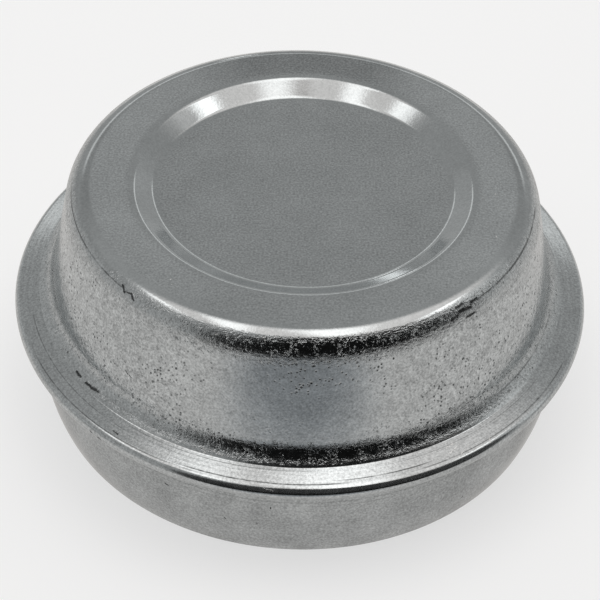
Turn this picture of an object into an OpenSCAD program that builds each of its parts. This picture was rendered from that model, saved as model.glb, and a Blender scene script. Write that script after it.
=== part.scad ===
// Hub grease cap: one deep-drawn sheet-steel pressing, open underneath.
// The section is a single sheet of even thickness. Its outer face is given as a
// path of corners from the axis to the rim, and each corner is bent to a radius.
// Millimetres, +Z up. The rim lies on z = 0 and the axis is the Z axis.

/* [Sheet] */
// Thickness of the steel sheet
sheet_t = 0.8; // [0.6:0.05:1.2]
// Gap left between the two layers of the folded flange
fold_gap = 0.2; // [0.1:0.05:0.6]

/* [Skirt] */
// Outer diameter of the skirt where it grips the hub's bore
skirt_d = 62.1; // [50:0.1:80]
// Height of the skirt below the flange's lower face
skirt_h = 11.9; // [9:0.1:20]
// Radius of the bend between flange and skirt, on the outer face
neck_r = 0.6; // [0.3:0.1:0.8]
// Height of the curved lead-in at the rim
lead_h = 6; // [3:0.1:7]
// Amount by which the lead-in narrows the skirt's radius
lead_in = 0.95; // [0.2:0.05:1.2]

/* [Flange] */
// Overhang of the folded flange beyond the skirt
flange_lip = 2.45; // [2:0.05:5]
// Width of the flange from its outer edge to the crease at its inner end
flange_w = 2.9; // [2.5:0.1:5]
// Angle by which the flange's upper face slopes down to its edge
flange_slope = 12; // [4:1:20]
// Radius of the crease at the flange's inner end, on the outer face
crease_r = 0.5; // [0.3:0.1:1]

/* [Hollow] */
// Width of the hollow from the crease to the foot of the wall
hollow_w = 1.45; // [1.2:0.05:2.5]
// Height of the foot of the wall above the crease
hollow_h = 0.95; // [0.7:0.05:1.5]
// Radius of the hollow, on the outer face
hollow_r = 2.6; // [1.5:0.1:3]

/* [Wall] */
// Height of the crown above the crease
crown_h = 14.4; // [10:0.1:20]
// Amount by which the wall leans in on its way up to the crown
wall_lean = 2.85; // [1:0.05:4]
// Radius of the bend between wall and crown, on the outer face
crown_r = 2.9; // [1.8:0.1:3.5]

/* [Crown] */
// Width of the crown's ring from the wall to the edge of the recess
ring_w = 7.15; // [5:0.05:10]
// Depth of the recess below the crown's top face
recess_h = 1.4; // [0.8:0.1:2]
// Width of the slope between the recess's edge and its flat panel
slope_w = 2.3; // [2:0.1:4]
// Radius of the two bends that bound the slope, on the upper face
slope_r = 1.4; // [1.3:0.1:1.6]

/* [Hidden] */
$fn = 144;
// Largest angle between two neighbouring points of a bend
BEND_STEP = 9;
// Two points of the outline that lie closer than this are one
SAME = 0.001;

// Heights of the faces above the rim
fold_h = 2 * sheet_t + fold_gap;
flange_low = skirt_h;
edge_top = flange_low + fold_h / 2 * (1 + tan((90 - flange_slope) / 2));
crease_top = edge_top + flange_w * tan(flange_slope);
hollow_top = crease_top + hollow_h;
crown_top = crease_top + crown_h;
panel_top = crown_top - recess_h;

// Radii of the corners, built outwards and then inwards from the skirt that fits the hub
skirt_x = skirt_d / 2;
flange_x = skirt_x + flange_lip;
crease_x = flange_x - flange_w;
hollow_x = crease_x - hollow_w;
crown_x = hollow_x - wall_lean;
recess_x = crown_x - ring_w;
panel_x = recess_x - slope_w;
rim_x = skirt_x - lead_in;

// The lead-in is an arc that leaves the skirt upright and ends at the rim
lead_turn = 2 * atan(lead_in / lead_h);
lead_r = lead_h / sin(lead_turn);
lead_corner = lead_h - lead_r * tan(lead_turn / 2);

// Corners of the outer face from the axis to the rim, as [radius, height, bend radius]
CORNERS = [
    [0, panel_top, 0],
    [panel_x, panel_top, slope_r],
    [recess_x, crown_top, slope_r],
    [crown_x, crown_top, crown_r],
    [hollow_x, hollow_top, hollow_r],
    [crease_x, crease_top, crease_r],
    [flange_x, edge_top, fold_h / 2],
    [flange_x, flange_low, fold_h / 2],
    [skirt_x, flange_low, neck_r],
    [skirt_x, lead_corner, lead_r],
    [rim_x, 0, 0]
];
LAST = len(CORNERS) - 1;

function spot(i) = [CORNERS[i][0], CORNERS[i][1]];
function heading(i) = (spot(i + 1) - spot(i)) / norm(spot(i + 1) - spot(i));
function right_of(d) = [d[1], -d[0]];
function spin(v, a) = [v[0] * cos(a) - v[1] * sin(a), v[0] * sin(a) + v[1] * cos(a)];

// Angle that the path turns at corner i, positive to the left
function turn(i) =
    let (a = heading(i - 1), b = heading(i))
    atan2(a[0] * b[1] - a[1] * b[0], a * b);

// Points of the bend at corner i, on the face that lies depth to the right of the path.
// The centre lies on the side that the path turns to, so a left turn widens the arc
// of the inner face and a right turn tightens it.
function bend(i, depth) =
    let (
        angle = turn(i),
        side = sign(angle),
        radius = CORNERS[i][2],
        setback = radius * tan(abs(angle) / 2),
        out = side * right_of(heading(i - 1)),
        centre = spot(i) - heading(i - 1) * setback - out * radius,
        steps = ceil(abs(angle) / BEND_STEP)
    )
    [for (k = [0 : steps]) centre + spin(out, angle * k / steps) * (radius + side * depth)];

// One whole face of the sheet, ending at the axis and at the rim's square-trimmed edge
function face(depth) = concat(
    [spot(0) + depth * right_of(heading(0))],
    [for (i = [1 : LAST - 1]) each bend(i, depth)],
    [spot(LAST) - [depth / cos(lead_turn), 0]]
);

function reversed(list) = [for (i = [len(list) - 1 : -1 : 0]) list[i]];
function without_repeats(list) =
    [for (i = [0 : len(list) - 1]) if (i == 0 || norm(list[i] - list[i - 1]) > SAME) list[i]];

module cap() {
    color("#8c9092")
        rotate_extrude()
            polygon(without_repeats(concat(face(0), reversed(face(sheet_t)))));
}

cap();
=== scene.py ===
"""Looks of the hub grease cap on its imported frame.

Metres, +Z up. The rim lies on z = 0 and the camera stands on the -Y side.
Heights and radii of the section and of the material are in millimetres.
"""
import math

import bpy
import numpy as np
from mathutils import Matrix, Vector


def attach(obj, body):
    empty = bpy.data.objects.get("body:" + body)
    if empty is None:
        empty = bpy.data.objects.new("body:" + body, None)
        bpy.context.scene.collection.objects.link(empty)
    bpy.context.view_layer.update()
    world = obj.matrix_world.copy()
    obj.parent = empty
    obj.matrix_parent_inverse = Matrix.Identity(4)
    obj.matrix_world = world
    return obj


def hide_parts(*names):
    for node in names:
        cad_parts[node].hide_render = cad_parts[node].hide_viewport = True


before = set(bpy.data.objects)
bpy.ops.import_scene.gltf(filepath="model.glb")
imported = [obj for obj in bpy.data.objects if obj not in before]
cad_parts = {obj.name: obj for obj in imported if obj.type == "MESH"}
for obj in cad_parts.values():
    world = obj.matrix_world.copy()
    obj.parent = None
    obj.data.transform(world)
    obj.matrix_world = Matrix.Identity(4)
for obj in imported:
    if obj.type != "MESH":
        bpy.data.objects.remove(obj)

MM = 0.001
DEGREES = 180 / math.pi
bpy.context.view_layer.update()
scene = bpy.context.scene
scene.view_settings.view_transform = "Standard"
scene.view_settings.look = "None"


# The section repeats the part's named values, in millimetres, with finer bends.
sheet_t, fold_gap = 0.8, 0.2
skirt_d, skirt_h, neck_r, lead_h, lead_in = 62.1, 11.9, 0.6, 6.0, 0.95
flange_lip, flange_w, flange_slope, crease_r = 2.45, 2.9, 12.0, 0.5
hollow_w, hollow_h, hollow_r = 1.45, 0.95, 2.6
crown_h, wall_lean, crown_r = 14.4, 2.85, 2.9
ring_w, recess_h, slope_w, slope_r = 7.15, 1.4, 2.3, 1.4

fold_h = 2 * sheet_t + fold_gap
edge_h = skirt_h + fold_h / 2 * (1 + math.tan(math.radians(90 - flange_slope) / 2))
crease_top = edge_h + flange_w * math.tan(math.radians(flange_slope))
hollow_top = crease_top + hollow_h
crown_top = crease_top + crown_h
panel_top = crown_top - recess_h
skirt_x = skirt_d / 2
flange_x = skirt_x + flange_lip
crease_x = flange_x - flange_w
hollow_x = crease_x - hollow_w
crown_x = hollow_x - wall_lean
recess_x = crown_x - ring_w
panel_x = recess_x - slope_w
rim_x = skirt_x - lead_in
lead_turn = 2 * math.atan(lead_in / lead_h)
lead_r = lead_h / math.sin(lead_turn)
lead_corner = lead_h - lead_r * math.tan(lead_turn / 2)

CORNERS = [
    (0, panel_top, 0),
    (panel_x, panel_top, slope_r),
    (recess_x, crown_top, slope_r),
    (crown_x, crown_top, crown_r),
    (hollow_x, hollow_top, hollow_r),
    (crease_x, crease_top, crease_r),
    (flange_x, edge_h, fold_h / 2),
    (flange_x, skirt_h, fold_h / 2),
    (skirt_x, skirt_h, neck_r),
    (skirt_x, lead_corner, lead_r),
    (rim_x, 0, 0),
]


def face(depth, step, run):
    """Points and outward normals of the sheet's face that lies depth below the outer one, from the axis to the rim."""
    spots = [np.array(c[:2], float) for c in CORNERS]
    ways = [(b - a) / np.linalg.norm(b - a) for a, b in zip(spots, spots[1:])]
    points, normals = [], []

    def add(p, n):
        if not points or np.linalg.norm(p - points[-1]) > 1e-4:
            points.append(p)
            normals.append(n)

    def straight(end, n):
        """Rows along a straight run, so that no face of the mesh is long."""
        start = points[-1]
        count = max(1, math.ceil(np.linalg.norm(end - start) / run))
        for k in range(1, count + 1):
            add(start + (end - start) * k / count, n)

    add(spots[0] + depth * np.array([ways[0][1], -ways[0][0]]), np.array([-ways[0][1], ways[0][0]]))
    for i in range(1, len(spots) - 1):
        a, b = ways[i - 1], ways[i]
        angle = math.atan2(a[0] * b[1] - a[1] * b[0], a @ b)
        side = math.copysign(1, angle)
        radius = CORNERS[i][2]
        out = side * np.array([a[1], -a[0]])
        centre = spots[i] - a * radius * math.tan(abs(angle) / 2) - out * radius
        straight(centre + out * (radius + side * depth), np.array([-a[1], a[0]]))
        steps = max(1, math.ceil(abs(math.degrees(angle)) / step))
        for k in range(1, steps + 1):
            t = angle * k / steps
            o = np.array([out[0] * math.cos(t) - out[1] * math.sin(t), out[0] * math.sin(t) + out[1] * math.cos(t)])
            add(centre + o * (radius + side * depth), -side * o)
    last = ways[-1]
    straight(spots[-1] - np.array([depth / math.cos(lead_turn), 0]), np.array([-last[1], last[0]]))
    return np.array(points), np.array(normals)


SEGMENTS = 300


def revolve(name):
    """One closed skin: the outer face, the trimmed edge of the rim and the inner face, with exact normals."""
    outer, outer_n = face(0, 3.2, 1.1)
    inner, inner_n = face(sheet_t, 12, 3.5)
    path = np.vstack([outer, inner[::-1]])
    count = len(path)
    turns = 2 * math.pi * np.arange(SEGMENTS) / SEGMENTS
    ring_c, ring_s = np.cos(turns), np.sin(turns)
    verts, rows = [], []
    for r, z in path:
        if r < 1e-6:
            rows.append([len(verts)] * SEGMENTS)
            verts.append((0, 0, z))
        else:
            rows.append(list(range(len(verts), len(verts) + SEGMENTS)))
            verts.extend(zip(r * ring_c, r * ring_s, [z] * SEGMENTS))
    # Normals of each strip of faces at its two ends, so that the rim's edges stay sharp
    ends = []
    for i in range(count - 1):
        if i < len(outer) - 1:
            ends.append((outer_n[i], outer_n[i + 1]))
        elif i == len(outer) - 1:
            ends.append((np.array([0, -1.0]), np.array([0, -1.0])))
        else:
            k = count - 1 - i
            ends.append((-inner_n[k], -inner_n[k - 1]))
    faces, loops = [], []
    for i, (na, nb) in enumerate(ends):
        a, b = rows[i], rows[i + 1]
        for j in range(SEGMENTS):
            k = (j + 1) % SEGMENTS
            corners = [(a[j], na, j), (b[j], nb, j), (b[k], nb, k), (a[k], na, k)]
            if a[j] == a[k]:
                corners = corners[:3]
            elif b[j] == b[k]:
                corners = [corners[0], corners[1], corners[3]]
            faces.append([c[0] for c in corners])
            loops.extend((n[0] * ring_c[m], n[0] * ring_s[m], n[1]) for _, n, m in corners)
    mesh = bpy.data.meshes.new(name)
    mesh.from_pydata([Vector(v) * MM for v in verts], [], faces)
    mesh.polygons.foreach_set("use_smooth", [True] * len(faces))
    mesh.normals_split_custom_set([Vector(n).normalized() for n in loops])
    # Share of the inner face, for the material: 0 on the outer face, 1 inside
    hidden = mesh.attributes.new("inside", "FLOAT", "POINT")
    values = np.zeros(len(verts), np.float32)
    for i in range(len(outer), count):
        values[rows[i]] = 1.0
    hidden.data.foreach_set("value", values)
    ob = bpy.data.objects.new(name, mesh)
    scene.collection.objects.link(ob)
    return ob


class Graph:
    """Short names for building a node tree. A value may be a number, a tuple or a socket."""

    def __init__(self, tree):
        self.tree = tree

    def node(self, kind, **props):
        n = self.tree.nodes.new(kind)
        for k, v in props.items():
            setattr(n, k, v)
        return n

    def put(self, socket, value):
        if isinstance(value, bpy.types.NodeSocket):
            self.tree.links.new(value, socket)
        elif value is not None:
            socket.default_value = value

    def math(self, op, a, b=None):
        n = self.node("ShaderNodeMath", operation=op)
        for s, v in zip(n.inputs, (a, b)):
            self.put(s, v)
        return n.outputs[0]

    def vec(self, op, a, b=None, scale=None):
        n = self.node("ShaderNodeVectorMath", operation=op)
        self.put(n.inputs[0], a)
        if b is not None:
            self.put(n.inputs[1], b)
        if scale is not None:
            self.put(n.inputs["Scale"], scale)
        return n.outputs["Value"] if op in ("LENGTH", "DISTANCE", "DOT_PRODUCT") else n.outputs["Vector"]

    def step(self, value, low, high, to_low=0.0, to_high=1.0):
        """Smooth step from to_low to to_high as value goes from low to high."""
        n = self.node("ShaderNodeMapRange", interpolation_type="SMOOTHSTEP", clamp=False)
        for s, v in zip(n.inputs, (value, low, high, to_low, to_high)):
            self.put(s, v)
        return n.outputs[0]

    def noise(self, vector, scale, detail, rough):
        n = self.node("ShaderNodeTexNoise", noise_dimensions="3D")
        self.put(n.inputs["Vector"], vector)
        self.put(n.inputs["Scale"], scale)
        self.put(n.inputs["Detail"], detail)
        self.put(n.inputs["Roughness"], rough)
        return n.outputs["Fac"]

    def cells(self, vector, scale):
        """Distance to the nearest cell's centre, and the cell's random colour."""
        n = self.node("ShaderNodeTexVoronoi", voronoi_dimensions="3D")
        self.put(n.inputs["Vector"], vector)
        self.put(n.inputs["Scale"], scale)
        return n.outputs["Distance"], n.outputs["Color"]

    def mix(self, fac, a, b, kind="RGBA", blend="MIX"):
        n = self.node("ShaderNodeMix", data_type=kind)
        if kind == "RGBA":
            n.blend_type = blend
        slots = {"FLOAT": (0, 2, 3, 0), "RGBA": (0, 6, 7, 2)}[kind]
        self.put(n.inputs[slots[0]], fac)
        self.put(n.inputs[slots[1]], a)
        self.put(n.inputs[slots[2]], b)
        return n.outputs[slots[3]]

    def join(self, x, y, z):
        n = self.node("ShaderNodeCombineXYZ")
        for s, v in zip(n.inputs, (x, y, z)):
            self.put(s, v)
        return n.outputs[0]

    def split(self, v):
        n = self.node("ShaderNodeSeparateXYZ")
        self.put(n.inputs[0], v)
        return n.outputs


# Marks of handling and of the press, as the photograph shows them:
# the two ends in millimetres and the half width
DARK_MARKS = [
    (-18.64, -17.90, 27.84, -18.37, -18.71, 27.45, 0.12), (-18.37, -18.62, 27.52, -17.59, -19.11, 27.72, 0.10),
    (-17.59, -19.11, 27.72, -17.33, -19.78, 27.35, 0.13), (15.79, -21.11, 27.25, 16.54, -20.37, 27.43, 0.16),
    (16.64, -20.09, 27.60, 17.84, -19.16, 27.50, 0.22), (17.44, -20.10, 26.79, 18.32, -19.31, 26.79, 0.14),
    (16.20, -19.91, 27.98, 16.96, -19.26, 27.98, 0.13), (17.84, -18.83, 27.76, 18.50, -18.09, 27.82, 0.16),
    # Painted shade: both marks on the next row and the first on the row after lie in the crease between the hollow and
    # the flange at the left and draw a dark line along it
    (-24.37, -17.77, 14.43, -23.84, -18.51, 14.42, 0.16), (-23.19, -19.37, 14.39, -22.45, -20.14, 14.43, 0.16),
    (-22.45, -20.14, 14.43, -21.60, -20.81, 14.54, 0.19), (-18.38, -21.61, 18.77, -18.16, -21.86, 18.57, 0.07),
    (-18.16, -21.86, 18.57, -17.69, -22.28, 18.41, 0.06), (-19.60, -25.76, 13.77, -19.01, -26.30, 13.75, 0.08),
    (-22.10, -25.15, 12.95, -21.90, -25.33, 12.80, 0.10), (-21.20, -25.93, 12.75, -20.85, -26.20, 12.65, 0.10),
    (22.30, -24.80, 12.40, 22.75, -24.45, 12.40, 0.08), (16.69, -25.10, 0.13, 18.94, -24.34, 3.17, 0.07),
    (-13.95, -27.74, 7.69, -13.61, -27.91, 7.57, 0.09), (-2.41, -30.96, 8.08, -2.41, -30.96, 7.84, 0.08),
    (-7.41, -30.13, 5.16, -7.30, -30.15, 5.01, 0.07), (-3.90, -30.79, 5.29, -3.80, -30.80, 5.13, 0.07),
]
LIGHT_MARKS = [
    (-3.56, -25.35, 28.03, -3.33, -25.89, 27.58, 0.05), (-9.00, -24.67, 27.40, -7.60, -24.50, 27.85, 0.06),
    (-9.99, -28.32, 14.52, -9.11, -28.85, 14.37, 0.07), (-8.70, -28.71, 14.54, -7.61, -29.33, 14.34, 0.06),
    (-9.65, -28.81, 14.29, -8.66, -29.35, 14.16, 0.05), (-3.14, -32.90, 13.58, -2.09, -33.22, 13.38, 0.06),
    (16.45, -27.54, 13.83, 17.23, -26.58, 13.92, 0.06), (17.41, -27.79, 13.68, 18.54, -26.16, 13.83, 0.05),
    (16.14, -26.84, 13.99, 16.80, -26.26, 14.02, 0.05), (20.75, -25.10, 13.73, 20.95, -25.54, 13.59, 0.08),
    (-4.33, -21.48, 28.55, -4.33, -21.40, 28.55, 0.08), (-13.60, -17.65, 28.55, -13.55, -17.62, 28.55, 0.07),
    (-13.44, -18.42, 28.55, -13.40, -18.40, 28.55, 0.06), (-12.89, -18.70, 28.55, -12.85, -18.68, 28.55, 0.06),
    (21.42, -1.88, 28.55, 21.40, -1.80, 28.55, 0.08), (21.08, -9.05, 28.55, 21.05, -9.00, 28.55, 0.08),
]
# Thin dark lines that follow the rim, painted into the tone with no relief: painted shade of fine grooves and creases
# that the section leaves out,
#  and on the crown's bend a painted dark reflection. Columns: radius, height, half width, first and last angle in
#  degrees from the front, depth of tone
RING_LINES = [
    (32.50, 13.74, 0.075, -20, 9, 0.90), (32.15, 13.81, 0.065, 9, 26, 0.8), (31.60, 13.93, 0.06, -75, -35, 0.45),
    (32.80, 13.66, 0.060, -64, -16, 0.55), (32.62, 13.71, 0.060, 24, 66, 0.60), (30.95, 14.07, 0.050, -34, 4, 0.50),
    (31.05, 9.05, 0.07, -55, 60, 0.28), (31.05, 8.45, 0.05, -40, 48, 0.22), (26.02, 27.66, 0.07, -86, -45, 0.7),
    (26.02, 27.66, 0.10, 44, 84, 0.75), (29.45, 15.02, 0.10, 48, 78, 0.45), (31.15, 14.02, 0.05, 20, 60, 0.35),
]


def plated_steel():
    """Zinc-plated sheet steel, drawn, handled and a little worn."""
    mat = bpy.data.materials.new("plated_steel")
    mat.use_nodes = True
    tree = mat.node_tree
    tree.nodes.clear()
    g = Graph(tree)
    add = lambda a, b: g.math("ADD", a, b)
    sub = lambda a, b: g.math("SUBTRACT", a, b)
    mul = lambda a, b: g.math("MULTIPLY", a, b)
    top_of = lambda a, b: g.math("MAXIMUM", a, b)
    place = g.node("ShaderNodeTexCoord").outputs["Object"]
    p = g.vec("SCALE", place, scale=1000.0)
    x, y, z = g.split(p)
    radius = g.math("SQRT", add(mul(x, x), mul(y, y)))
    turn = mul(g.math("ARCTAN2", x, mul(y, -1.0)), DEGREES)
    inside = g.node("ShaderNodeAttribute", attribute_name="inside").outputs["Fac"]
    outside = sub(1.0, inside)

    # Parts of the outer face, by height and radius
    wall = mul(g.step(z, hollow_top + 0.2, hollow_top + 1.6), g.step(z, crown_top - 1.2, crown_top - 2.6))
    hollow = mul(g.step(z, hollow_top + 1.6, hollow_top + 0.6), g.step(radius, crease_x - 0.1, crease_x - 0.5))
    hollow = mul(hollow, g.step(z, skirt_h, skirt_h + 1.0))
    bend = mul(g.step(z, crown_top - 3.4, crown_top - 2.2), g.step(z, crown_top - 0.20, crown_top - 0.65))
    bend = mul(bend, g.step(radius, recess_x + 1.5, recess_x + 2.5))
    worn_edge = mul(bend, g.step(z, crown_top - 1.0, crown_top - 2.0))
    flange = mul(g.step(radius, crease_x - 0.2, crease_x + 0.1), g.step(z, skirt_h - 0.4, skirt_h + 0.2))
    skirt = g.step(z, skirt_h - 0.1, skirt_h - 0.8)
    # The rolled bends that shine: the slope of the recess and the upper part of the crown's bend
    slope = mul(g.step(radius, panel_x - 0.8, panel_x), g.step(radius, recess_x + 0.9, recess_x + 0.1))
    rolled = g.step(radius, crown_x - 2.7, crown_x - 2.1)
    shine = add(slope, mul(rolled, g.step(z, crown_top - 0.7, crown_top - 0.3)))
    shine = mul(shine, outside)
    # The drawn wall is smooth in front and coarser towards both sides
    aside = g.step(g.math("ABSOLUTE", sub(turn, 1.0)), 10, 34)

    # Grain of the plating, orange peel of the drawn wall, drawing lines round the flange and the skirt
    grain = sub(g.noise(p, 4.2, 1.0, 0.5), 0.5)
    grit = sub(g.noise(p, 2.0, 3.0, 0.65), 0.5)
    peel = sub(g.noise(p, 1.25, 2.0, 0.55), 0.5)
    blotch = sub(g.noise(p, 0.20, 3.0, 0.6), 0.5)
    patch = g.noise(p, 0.45, 3.0, 0.6)
    round_way = g.join(mul(turn, 0.022), mul(radius, 3.2), mul(z, 3.2))
    lines = sub(g.noise(round_way, 1.0, 3.0, 0.7), 0.5)

    # Pits: small dark holes, on the sides of the wall and in a cluster below the crown's bend
    def pits(scale, size, low, high, share):
        away, cell = g.cells(p, scale)
        lot = g.split(cell)[0]
        chosen = g.step(lot, 1.0 - share, 1.0 - share + 0.02)
        hole = mul(g.step(away, size, size * 0.35), chosen)
        return mul(hole, g.step(patch, low, high))
    small = pits(2.4, 0.38, 0.34, 0.52, 0.50)
    large = pits(1.15, 0.24, 0.42, 0.58, 0.56)
    pit = mul(top_of(mul(small, 0.8), large), g.step(blotch, -0.12, 0.06, 0.35, 1.15))
    cluster = mul(g.step(z, crown_top - 7.5, crown_top - 4.0), g.step(turn, -14, 4))
    cluster = mul(cluster, mul(g.step(turn, 62, 40), 0.6))
    crowd = g.math("MINIMUM", add(g.mix(aside, 0.30, 1.0, "FLOAT"), cluster), 1.0)
    pit = mul(pit, mul(add(mul(wall, crowd), mul(hollow, 0.8)), outside))

    # Scuffs: shallow dents and short scratches, crowded on the bend of the crown
    # and in the hollow, where the sheet ran over the die
    arc = g.join(mul(turn, 0.42), mul(radius, 3.4), mul(z, 3.4))
    bent_arc = g.vec("ADD", arc, g.vec("SCALE", g.join(peel, grit, grit), scale=2.6))
    scratch = sub(g.noise(bent_arc, 1.25, 2.0, 0.6), 0.5)
    near, _ = g.cells(g.vec("ADD", p, g.vec("SCALE", g.join(grit, peel, grain), scale=1.2)), 3.0)
    dent = sub(1.0, g.step(near, 0.0, 0.60))
    rag = g.step(g.noise(p, 0.8, 3.0, 0.7), 0.44, 0.60)
    drawn = mul(add(bend, mul(hollow, 0.8)), outside)
    scuff = mul(dent, mul(add(drawn, mul(wall, 0.08)), add(0.10, mul(rag, 0.75))))
    # Matt patches with a ragged edge, along the lower side of the bend and in the hollow
    matt = g.step(g.noise(p, 1.3, 4.0, 0.75), 0.50, 0.58)
    matt = mul(mul(matt, add(mul(worn_edge, 0.9), mul(hollow, 0.5))), outside)

    # Handling marks; the sampling place is shaken a little, so that no mark has a clean edge
    shaken = g.vec("ADD", p, g.vec("SCALE", g.join(grit, grain, peel), scale=0.42))

    def mark(ax, ay, az, bx, by, bz, width):
        way = Vector((bx - ax, by - ay, bz - az))
        square = max(way.length_squared, 1e-4)
        rel = g.vec("SUBTRACT", shaken, (ax, ay, az))
        along = g.math("MINIMUM", top_of(g.vec("DOT_PRODUCT", rel, tuple(way / square)), 0.0), 1.0)
        away = g.vec("DISTANCE", rel, g.vec("SCALE", tuple(way), scale=along))
        return g.step(away, width * 1.35, width * 0.45)

    dark = None
    for m in DARK_MARKS:
        one = mark(*m)
        dark = one if dark is None else top_of(dark, one)
    light = None
    for m in LIGHT_MARKS:
        one = mark(*m)
        light = one if light is None else top_of(light, one)
    gaps = g.step(g.noise(g.join(mul(turn, 0.16), radius, z), 1.0, 3.0, 0.7), 0.36, 0.52)
    # Painted shade along the thin dark lines round the rim
    painted_line_shade = None
    for r0, z0, half, first, last, depth in RING_LINES:
        dr, dz = sub(radius, r0), sub(z, z0)
        away = g.math("SQRT", add(mul(dr, dr), mul(dz, dz)))
        reach = mul(g.step(turn, first - 3, first + 3), g.step(turn, last + 3, last - 3))
        one = mul(mul(g.step(away, half * 1.6, half * 0.5), reach), depth)
        painted_line_shade = one if painted_line_shade is None else top_of(painted_line_shade, one)
    painted_line_shade = mul(mul(painted_line_shade, add(0.35, mul(gaps, 0.65))), outside)
    dark = mul(dark, outside)
    light = mul(light, outside)

    # Relief in millimetres
    height = mul(grain, 0.0032)
    peeled = mul(mul(wall, add(0.35, mul(aside, 0.65))), outside)
    height = add(height, mul(mul(peel, 0.035), add(peeled, 0.06)))
    gritty = add(mul(wall, add(0.25, mul(aside, 0.75))), mul(add(bend, hollow), 1.1))
    height = add(height, mul(mul(grit, 0.016), add(gritty, 0.10)))
    height = add(height, mul(lines, mul(top_of(flange, mul(skirt, 0.6)), 0.010)))
    height = add(height, mul(scratch, mul(drawn, g.step(turn, 10, 28, 0.034, 0.060))))
    height = sub(height, mul(scuff, 0.044))
    height = sub(height, mul(pit, 0.030))

    bump = g.node("ShaderNodeBump")
    g.put(bump.inputs["Strength"], 1.0)
    g.put(bump.inputs["Distance"], MM)
    g.put(bump.inputs["Height"], height)

    # Tone of the metal, as a share of its base colour
    tone = add(1.0, mul(blotch, 0.30))
    rough_side = mul(wall, aside)
    tone = add(tone, mul(grain, sub(g.mix(rough_side, 1.0, 1.3, "FLOAT"), mul(shine, 0.62))))
    # Uneven sheen of the drawn wall: patches, and streaks that run round it
    streak = sub(g.noise(g.join(mul(turn, 0.10), mul(radius, 0.9), mul(z, 0.9)), 1.0, 4.0, 0.65), 0.5)
    tone = add(tone, mul(add(mul(sub(patch, 0.5), 0.36), mul(streak, 0.34)), wall))
    tone = add(tone, mul(peel, mul(rough_side, 0.75)))
    # Painted light and shade on the crown's ring: its tone is raised at both sides as a painted reflection and lowered
    # at the back as painted shade
    ring = mul(g.step(radius, recess_x + 0.3, recess_x + 1.2), g.step(z, crown_top - 0.5, crown_top - 0.2))
    ring = mul(ring, outside)
    off_axis = g.math("ABSOLUTE", x)
    painted_back_shade = mul(g.step(y, 15, 22), g.step(off_axis, 15, 7))
    painted_ring_light_and_shade = sub(g.step(off_axis, 5, 19, 0.02, 0.13), mul(painted_back_shade, 0.26))
    # Painted shade on the skirt: its tone is a little darker, more so to the right, and it is blotched at random
    painted_skirt_shade_and_blotch = mul(skirt, sub(g.step(turn, 15, 50, 0.08, 0.14), mul(blotch, 0.45)))
    # The ring's painted light and shade, less the skirt's painted shade
    tone = add(tone, sub(mul(ring, painted_ring_light_and_shade), painted_skirt_shade_and_blotch))
    # Painted shade: the tone of the crown's rolled edge is lower at both sides, which dims its highlight there
    far = g.math("ABSOLUTE", turn)
    shaded_edge_sides = mul(g.step(far, 52, 80), g.step(far, 165, 140))
    tone = sub(tone, mul(mul(mul(shine, rolled), shaded_edge_sides), 0.24))
    coarse = g.math("MINIMUM", add(rough_side, add(hollow, bend)), 1.0)
    tone = add(tone, mul(grit, g.mix(coarse, 0.20, 0.55, "FLOAT")))
    tone = add(tone, mul(lines, mul(top_of(mul(flange, 1.35), mul(skirt, 0.5)), 0.42)))
    tone = mul(tone, sub(1.0, mul(pit, 0.74)))
    # The dark marks, three of which are painted shade in the crease
    tone = mul(tone, sub(1.0, mul(dark, 0.86)))
    # The painted shade of the lines round the rim darkens the tone
    tone = mul(tone, sub(1.0, mul(painted_line_shade, 0.9)))
    tone = mul(tone, g.mix(inside, 1.0, 0.82, "FLOAT"))
    tone = g.math("MAXIMUM", tone, 0.02)
    cool = g.mix(1.0, (0.503, 0.527, 0.536, 1), g.join(tone, tone, tone), blend="MULTIPLY")
    colour = g.mix(mul(light, 0.8), cool, (0.93, 0.93, 0.92, 1))

    rough = add(add(0.12, mul(matt, 0.26)), mul(blotch, 0.08))
    rough = sub(add(rough, mul(grain, 0.05)), mul(shine, 0.03))
    rough = add(rough, add(mul(inside, 0.16), mul(pit, 0.25)))
    rough = add(rough, add(mul(light, 0.35), mul(dark, 0.25)))
    rough = add(rough, mul(rough_side, 0.06))

    # A whitish haze on the bead's shoulder, where it would mirror the dark room
    haze = mul(g.step(radius, flange_x - 0.7, flange_x - 0.3), g.step(z, skirt_h + 1.25, skirt_h + 1.5))
    haze = mul(mul(haze, outside), add(0.02, mul(patch, 0.14)))
    # Two dull patches on the near side of the recess's slope
    dull = mul(g.step(radius, panel_x - 0.1, panel_x + 0.4), g.step(radius, recess_x + 0.1, recess_x - 0.4))
    dull = mul(mul(dull, outside), mul(g.step(far, 42, 51), g.step(far, 66, 57)))

    shader = g.node("ShaderNodeBsdfPrincipled")
    g.put(shader.inputs["Metallic"], sub(1.0, add(haze, mul(dull, 0.16))))
    g.put(shader.inputs["Base Color"], colour)
    g.put(shader.inputs["Roughness"], rough)
    g.put(shader.inputs["Normal"], bump.outputs[0])
    out = g.node("ShaderNodeOutputMaterial")
    tree.links.new(shader.outputs[0], out.inputs["Surface"])
    return mat


# The cap
cap = revolve("grease_cap")
cap.data.materials.append(plated_steel())
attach(cap, "root")
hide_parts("cap")


def sheet(name, size, height, mat):
    """A level square sheet of the stage, centred on the axis, in millimetres."""
    h = size / 2
    mesh = bpy.data.meshes.new(name)
    corners = ((-h, -h, height), (h, -h, height), (h, h, height), (-h, h, height))
    mesh.from_pydata([Vector(c) * MM for c in corners], [], [(0, 1, 2, 3)])
    mesh.materials.append(mat)
    ob = bpy.data.objects.new(name, mesh)
    scene.collection.objects.link(ob)
    return ob


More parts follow.
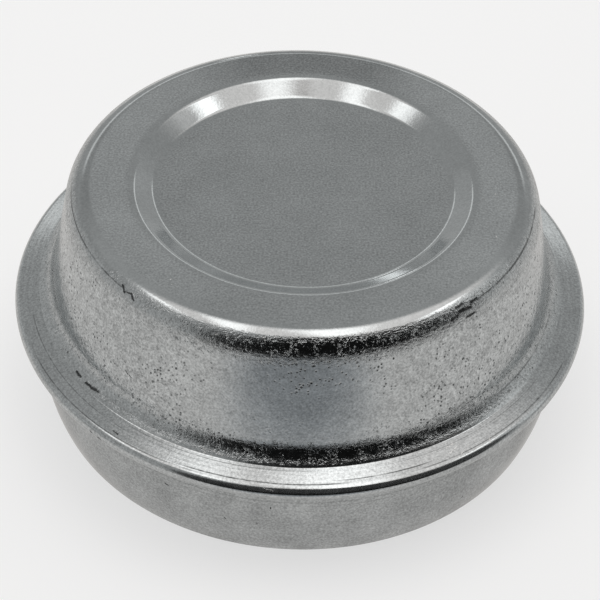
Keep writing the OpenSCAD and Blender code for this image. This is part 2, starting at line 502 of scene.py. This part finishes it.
def one_sided(g, shader):
    """Ends the tree of a floor that can't be seen from below."""
    clear = g.node("ShaderNodeBsdfTransparent")
    pick = g.node("ShaderNodeMixShader")
    g.put(pick.inputs[0], g.node("ShaderNodeNewGeometry").outputs["Backfacing"])
    g.tree.links.new(shader, pick.inputs[1])
    g.tree.links.new(clear.outputs[0], pick.inputs[2])
    out = g.node("ShaderNodeOutputMaterial")
    g.tree.links.new(pick.outputs[0], out.inputs["Surface"])


def pale_floor():
    """The pale floor, half of its light its own, so that the cap's shadow stays faint."""
    mat = bpy.data.materials.new("pale_floor")
    mat.use_nodes = True
    mat.node_tree.nodes.clear()
    g = Graph(mat.node_tree)
    shader = g.node("ShaderNodeBsdfPrincipled")
    shader.inputs["Base Color"].default_value = (0.34, 0.34, 0.34, 1)
    shader.inputs["Roughness"].default_value = 0.9
    shader.inputs["Specular IOR Level"].default_value = 0.0
    shader.inputs["Emission Color"].default_value = (1, 1, 1, 1)
    shader.inputs["Emission Strength"].default_value = 0.62
    one_sided(g, shader.outputs[0])
    return mat


def table():
    """What the metal sees below it: a white sheet of paper on a grey table.

    Its glow holds painted shade: it is dimmer in front of the cap, and next to the cap a painted shadow dims it; the
    table beyond it is dark on the camera's side.
    """
    mat = bpy.data.materials.new("white_sheet")
    mat.use_nodes = True
    mat.node_tree.nodes.clear()
    g = Graph(mat.node_tree)
    p = g.vec("SCALE", g.node("ShaderNodeTexCoord").outputs["Object"], scale=1000.0)
    x, y, _ = g.split(p)
    radius = g.vec("LENGTH", p)
    wide = g.math("MAXIMUM", g.math("ABSOLUTE", x), g.math("ABSOLUTE", y))
    paper = g.step(wide, 130, 116)
    side = g.math("MULTIPLY", g.math("ARCTAN2", x, g.math("MULTIPLY", y, -1.0)), DEGREES)
    front = g.math("MULTIPLY", g.step(side, -48, -26), g.step(side, 70, 38))
    beyond = g.mix(front, g.step(g.math("ABSOLUTE", side), 140, 165, 0.62, 0.85), 0.02, "FLOAT")
    # Painted shade in the glow: a dim patch centred 98 mm in front of the cap, and a painted shadow of the cap within
    # 50 mm of the axis
    du = g.math("DIVIDE", g.math("SUBTRACT", x, 2.0), 44.0)
    dv = g.math("DIVIDE", g.math("ADD", y, 98.0), 44.0)
    spot = g.math("SQRT", g.math("ADD", g.math("MULTIPLY", du, du), g.math("MULTIPLY", dv, dv)))
    lit = g.step(spot, 0.40, 1.25)
    glow_with_painted_shade = g.step(spot, 0.40, 1.25, 0.31, 0.67)
    glow_with_painted_shade = g.math("MULTIPLY", glow_with_painted_shade, g.step(radius, 30, 50, 0.80, 1.0))
    level = g.mix(paper, beyond, glow_with_painted_shade, "FLOAT")
    glow = g.node("ShaderNodeEmission")
    g.put(glow.inputs["Color"], g.mix(lit, (0.96, 0.995, 1.03, 1), (1.03, 1.0, 0.97, 1)))
    g.put(glow.inputs["Strength"], level)
    one_sided(g, glow.outputs[0])
    return mat


# Two sheets just below the rim: the camera sees the floor, and only the metal sees the paper
STAGE_SIZE = 8000
floor = sheet("floor", STAGE_SIZE, -0.03, pale_floor())
floor.visible_glossy = False
paper = sheet("paper", STAGE_SIZE, -0.06, table())
for ray in ("camera", "diffuse", "transmission", "volume_scatter", "shadow"):
    setattr(paper, "visible_" + ray, False)


def studio_world():
    """A long softbox overhead, a grey wall behind, and the dark room on the camera's side."""
    world = bpy.data.worlds.new("studio")
    scene.world = world
    world.use_nodes = True
    tree = world.node_tree
    tree.nodes.clear()
    g = Graph(tree)
    mul = lambda a, b: g.math("MULTIPLY", a, b)
    add = lambda a, b: g.math("ADD", a, b)
    way = g.node("ShaderNodeTexCoord").outputs["Generated"]
    x, y, z = g.split(way)
    up = g.math("MAXIMUM", z, 0.03)
    u = g.math("DIVIDE", x, up)
    v = g.math("DIVIDE", y, up)
    side = mul(g.math("ARCTAN2", x, mul(y, -1.0)), DEGREES)
    rise = mul(g.math("ARCSINE", z), DEGREES)

    # The grey wall, lighter near the horizon, with a light strip low behind the cap
    behind = g.step(rise, 32, 22, 0.40, 0.47)
    apart = g.math("ABSOLUTE", side)
    strip = mul(g.step(apart, 146, 156), mul(g.step(rise, 22.0, 24.5), g.step(rise, 30, 27)))
    behind = add(behind, mul(strip, 0.55))
    # The dark room in front: an oval that reaches further to the right
    half = g.mix(g.step(side, 0, 30), 54.0, add(70.0, mul(g.math("MAXIMUM", rise, 0.0), 0.38)), "FLOAT")
    da = g.math("DIVIDE", g.math("SUBTRACT", side, 8.0), half)
    de = g.math("DIVIDE", g.math("SUBTRACT", rise, 28.0), 56.0)
    oval = g.math("SQRT", add(mul(da, da), mul(de, de)))
    dark = g.step(oval, 1.06, 0.87)
    room = g.mix(dark, behind, g.step(oval, 0.9, 0.5, 0.035, 0.008), "FLOAT")

    # The softbox with four lamps behind its cloth, and its dimmer right wing
    cloth = mul(g.step(u, -1.05, -0.35), g.step(u, 1.05, 0.35))
    cloth = mul(cloth, mul(g.step(v, -0.23, -0.17), g.step(g.math("SUBTRACT", v, mul(u, 0.25)), 0.60, 0.28)))

    def lamp(x0, y0, rx, ry, x, y, shear=0.0):
        """Soft oval at (x0, y0) with the radii rx and ry, which leans by shear."""
        b = g.math("SUBTRACT", y, y0)
        a = g.math("SUBTRACT", g.math("SUBTRACT", x, x0), mul(b, shear))
        a = g.math("DIVIDE", a, rx)
        b = g.math("DIVIDE", b, ry)
        return g.step(g.math("SQRT", add(mul(a, a), mul(b, b))), 1.15, 0.35)
    inner_left = mul(lamp(-0.235, 0.10, 0.10, 0.60, u, v, 0.22), 0.85)
    inner_right = mul(lamp(0.125, 0.10, 0.14, 0.60, u, v, -0.22), 0.85)
    outer_right = mul(lamp(0.62, 0.14, 0.10, 0.26, u, v), 2.0)
    outer_left = mul(lamp(-0.60, 0.14, 0.10, 0.26, u, v), 1.3)
    power = add(0.58, add(inner_left, inner_right))
    power = add(power, add(outer_right, outer_left))
    wing = mul(mul(g.step(u, 0.65, 1.0), g.step(u, 3.0, 2.2)), mul(g.step(v, -0.10, 0.0), g.step(v, 0.55, 0.35)))
    room = add(room, add(mul(cloth, power), mul(wing, 0.35)))
    # Two small low lamps right behind, of which the near side of the recess shows one
    turned = g.math("SUBTRACT", 180.0, apart)
    low = g.step(side, 0, 1, 1.7, 0.12)
    room = add(room, mul(lamp(5.6, 13.0, 1.8, 3.6, turned, rise), low))

    shown = g.node("ShaderNodeBackground")
    g.put(shown.inputs["Color"], (0.97, 0.97, 0.97, 1))
    glow = g.node("ShaderNodeBackground")
    red = add(room, mul(cloth, 0.045))
    blue = g.math("SUBTRACT", mul(room, 0.985), mul(cloth, 0.015))
    g.put(glow.inputs["Color"], g.join(red, room, blue))
    pick = g.node("ShaderNodeMixShader")
    g.put(pick.inputs[0], g.node("ShaderNodeLightPath").outputs["Is Camera Ray"])
    tree.links.new(glow.outputs[0], pick.inputs[1])
    tree.links.new(shown.outputs[0], pick.inputs[2])
    out = g.node("ShaderNodeOutputWorld")
    tree.links.new(pick.outputs[0], out.inputs["Surface"])
    world.cycles.sampling_method = "MANUAL"
    world.cycles.sample_map_resolution = 1024


studio_world()

# A broad lamp overhead that lights the floor and doesn't show in the metal
lamp = bpy.data.lights.new("fill", "AREA")
lamp.shape = "SQUARE"
lamp.size = 1.6
lamp.energy = 5.0
fill = bpy.data.objects.new("fill", lamp)
fill.location = (0, 0.1, 0.9)
fill.visible_glossy = False
scene.collection.objects.link(fill)


# The camera, fitted to the outline in the photograph: two angles, the focal length in pixels of a
# picture 600 pixels wide, and distance and shifts as multiples of the flange's radius
TILT, ROLL = 0.7517, -0.03275
PICTURE, FOCAL = 600, 1694.0
DISTANCE, SHIFT_RIGHT, SHIFT_DOWN = 6.0, 0.00055, 0.06725
MIDDLE = Vector((0, 0, 12.8))
across = Vector((1, 0, 0))
upright = Vector((0, math.sin(TILT), math.cos(TILT)))
forward = Vector((0, math.cos(TILT), -math.sin(TILT)))
right = across * math.cos(ROLL) - upright * math.sin(ROLL)
top = across * math.sin(ROLL) + upright * math.cos(ROLL)
eye = (-forward * DISTANCE + across * SHIFT_RIGHT - upright * SHIFT_DOWN) * flange_x + MIDDLE
cam = bpy.data.cameras.new("camera")
cam.sensor_width = 36.0
cam.lens = cam.sensor_width * FOCAL / PICTURE
cam.clip_start = 0.01
cam.clip_end = 50.0
camera = bpy.data.objects.new("camera", cam)
turn_to = Matrix((right, top, -forward)).transposed()
camera.matrix_world = Matrix.Translation(eye * MM) @ turn_to.to_4x4()
scene.collection.objects.link(camera)
scene.camera = camera

bpy.context.view_layer.update()
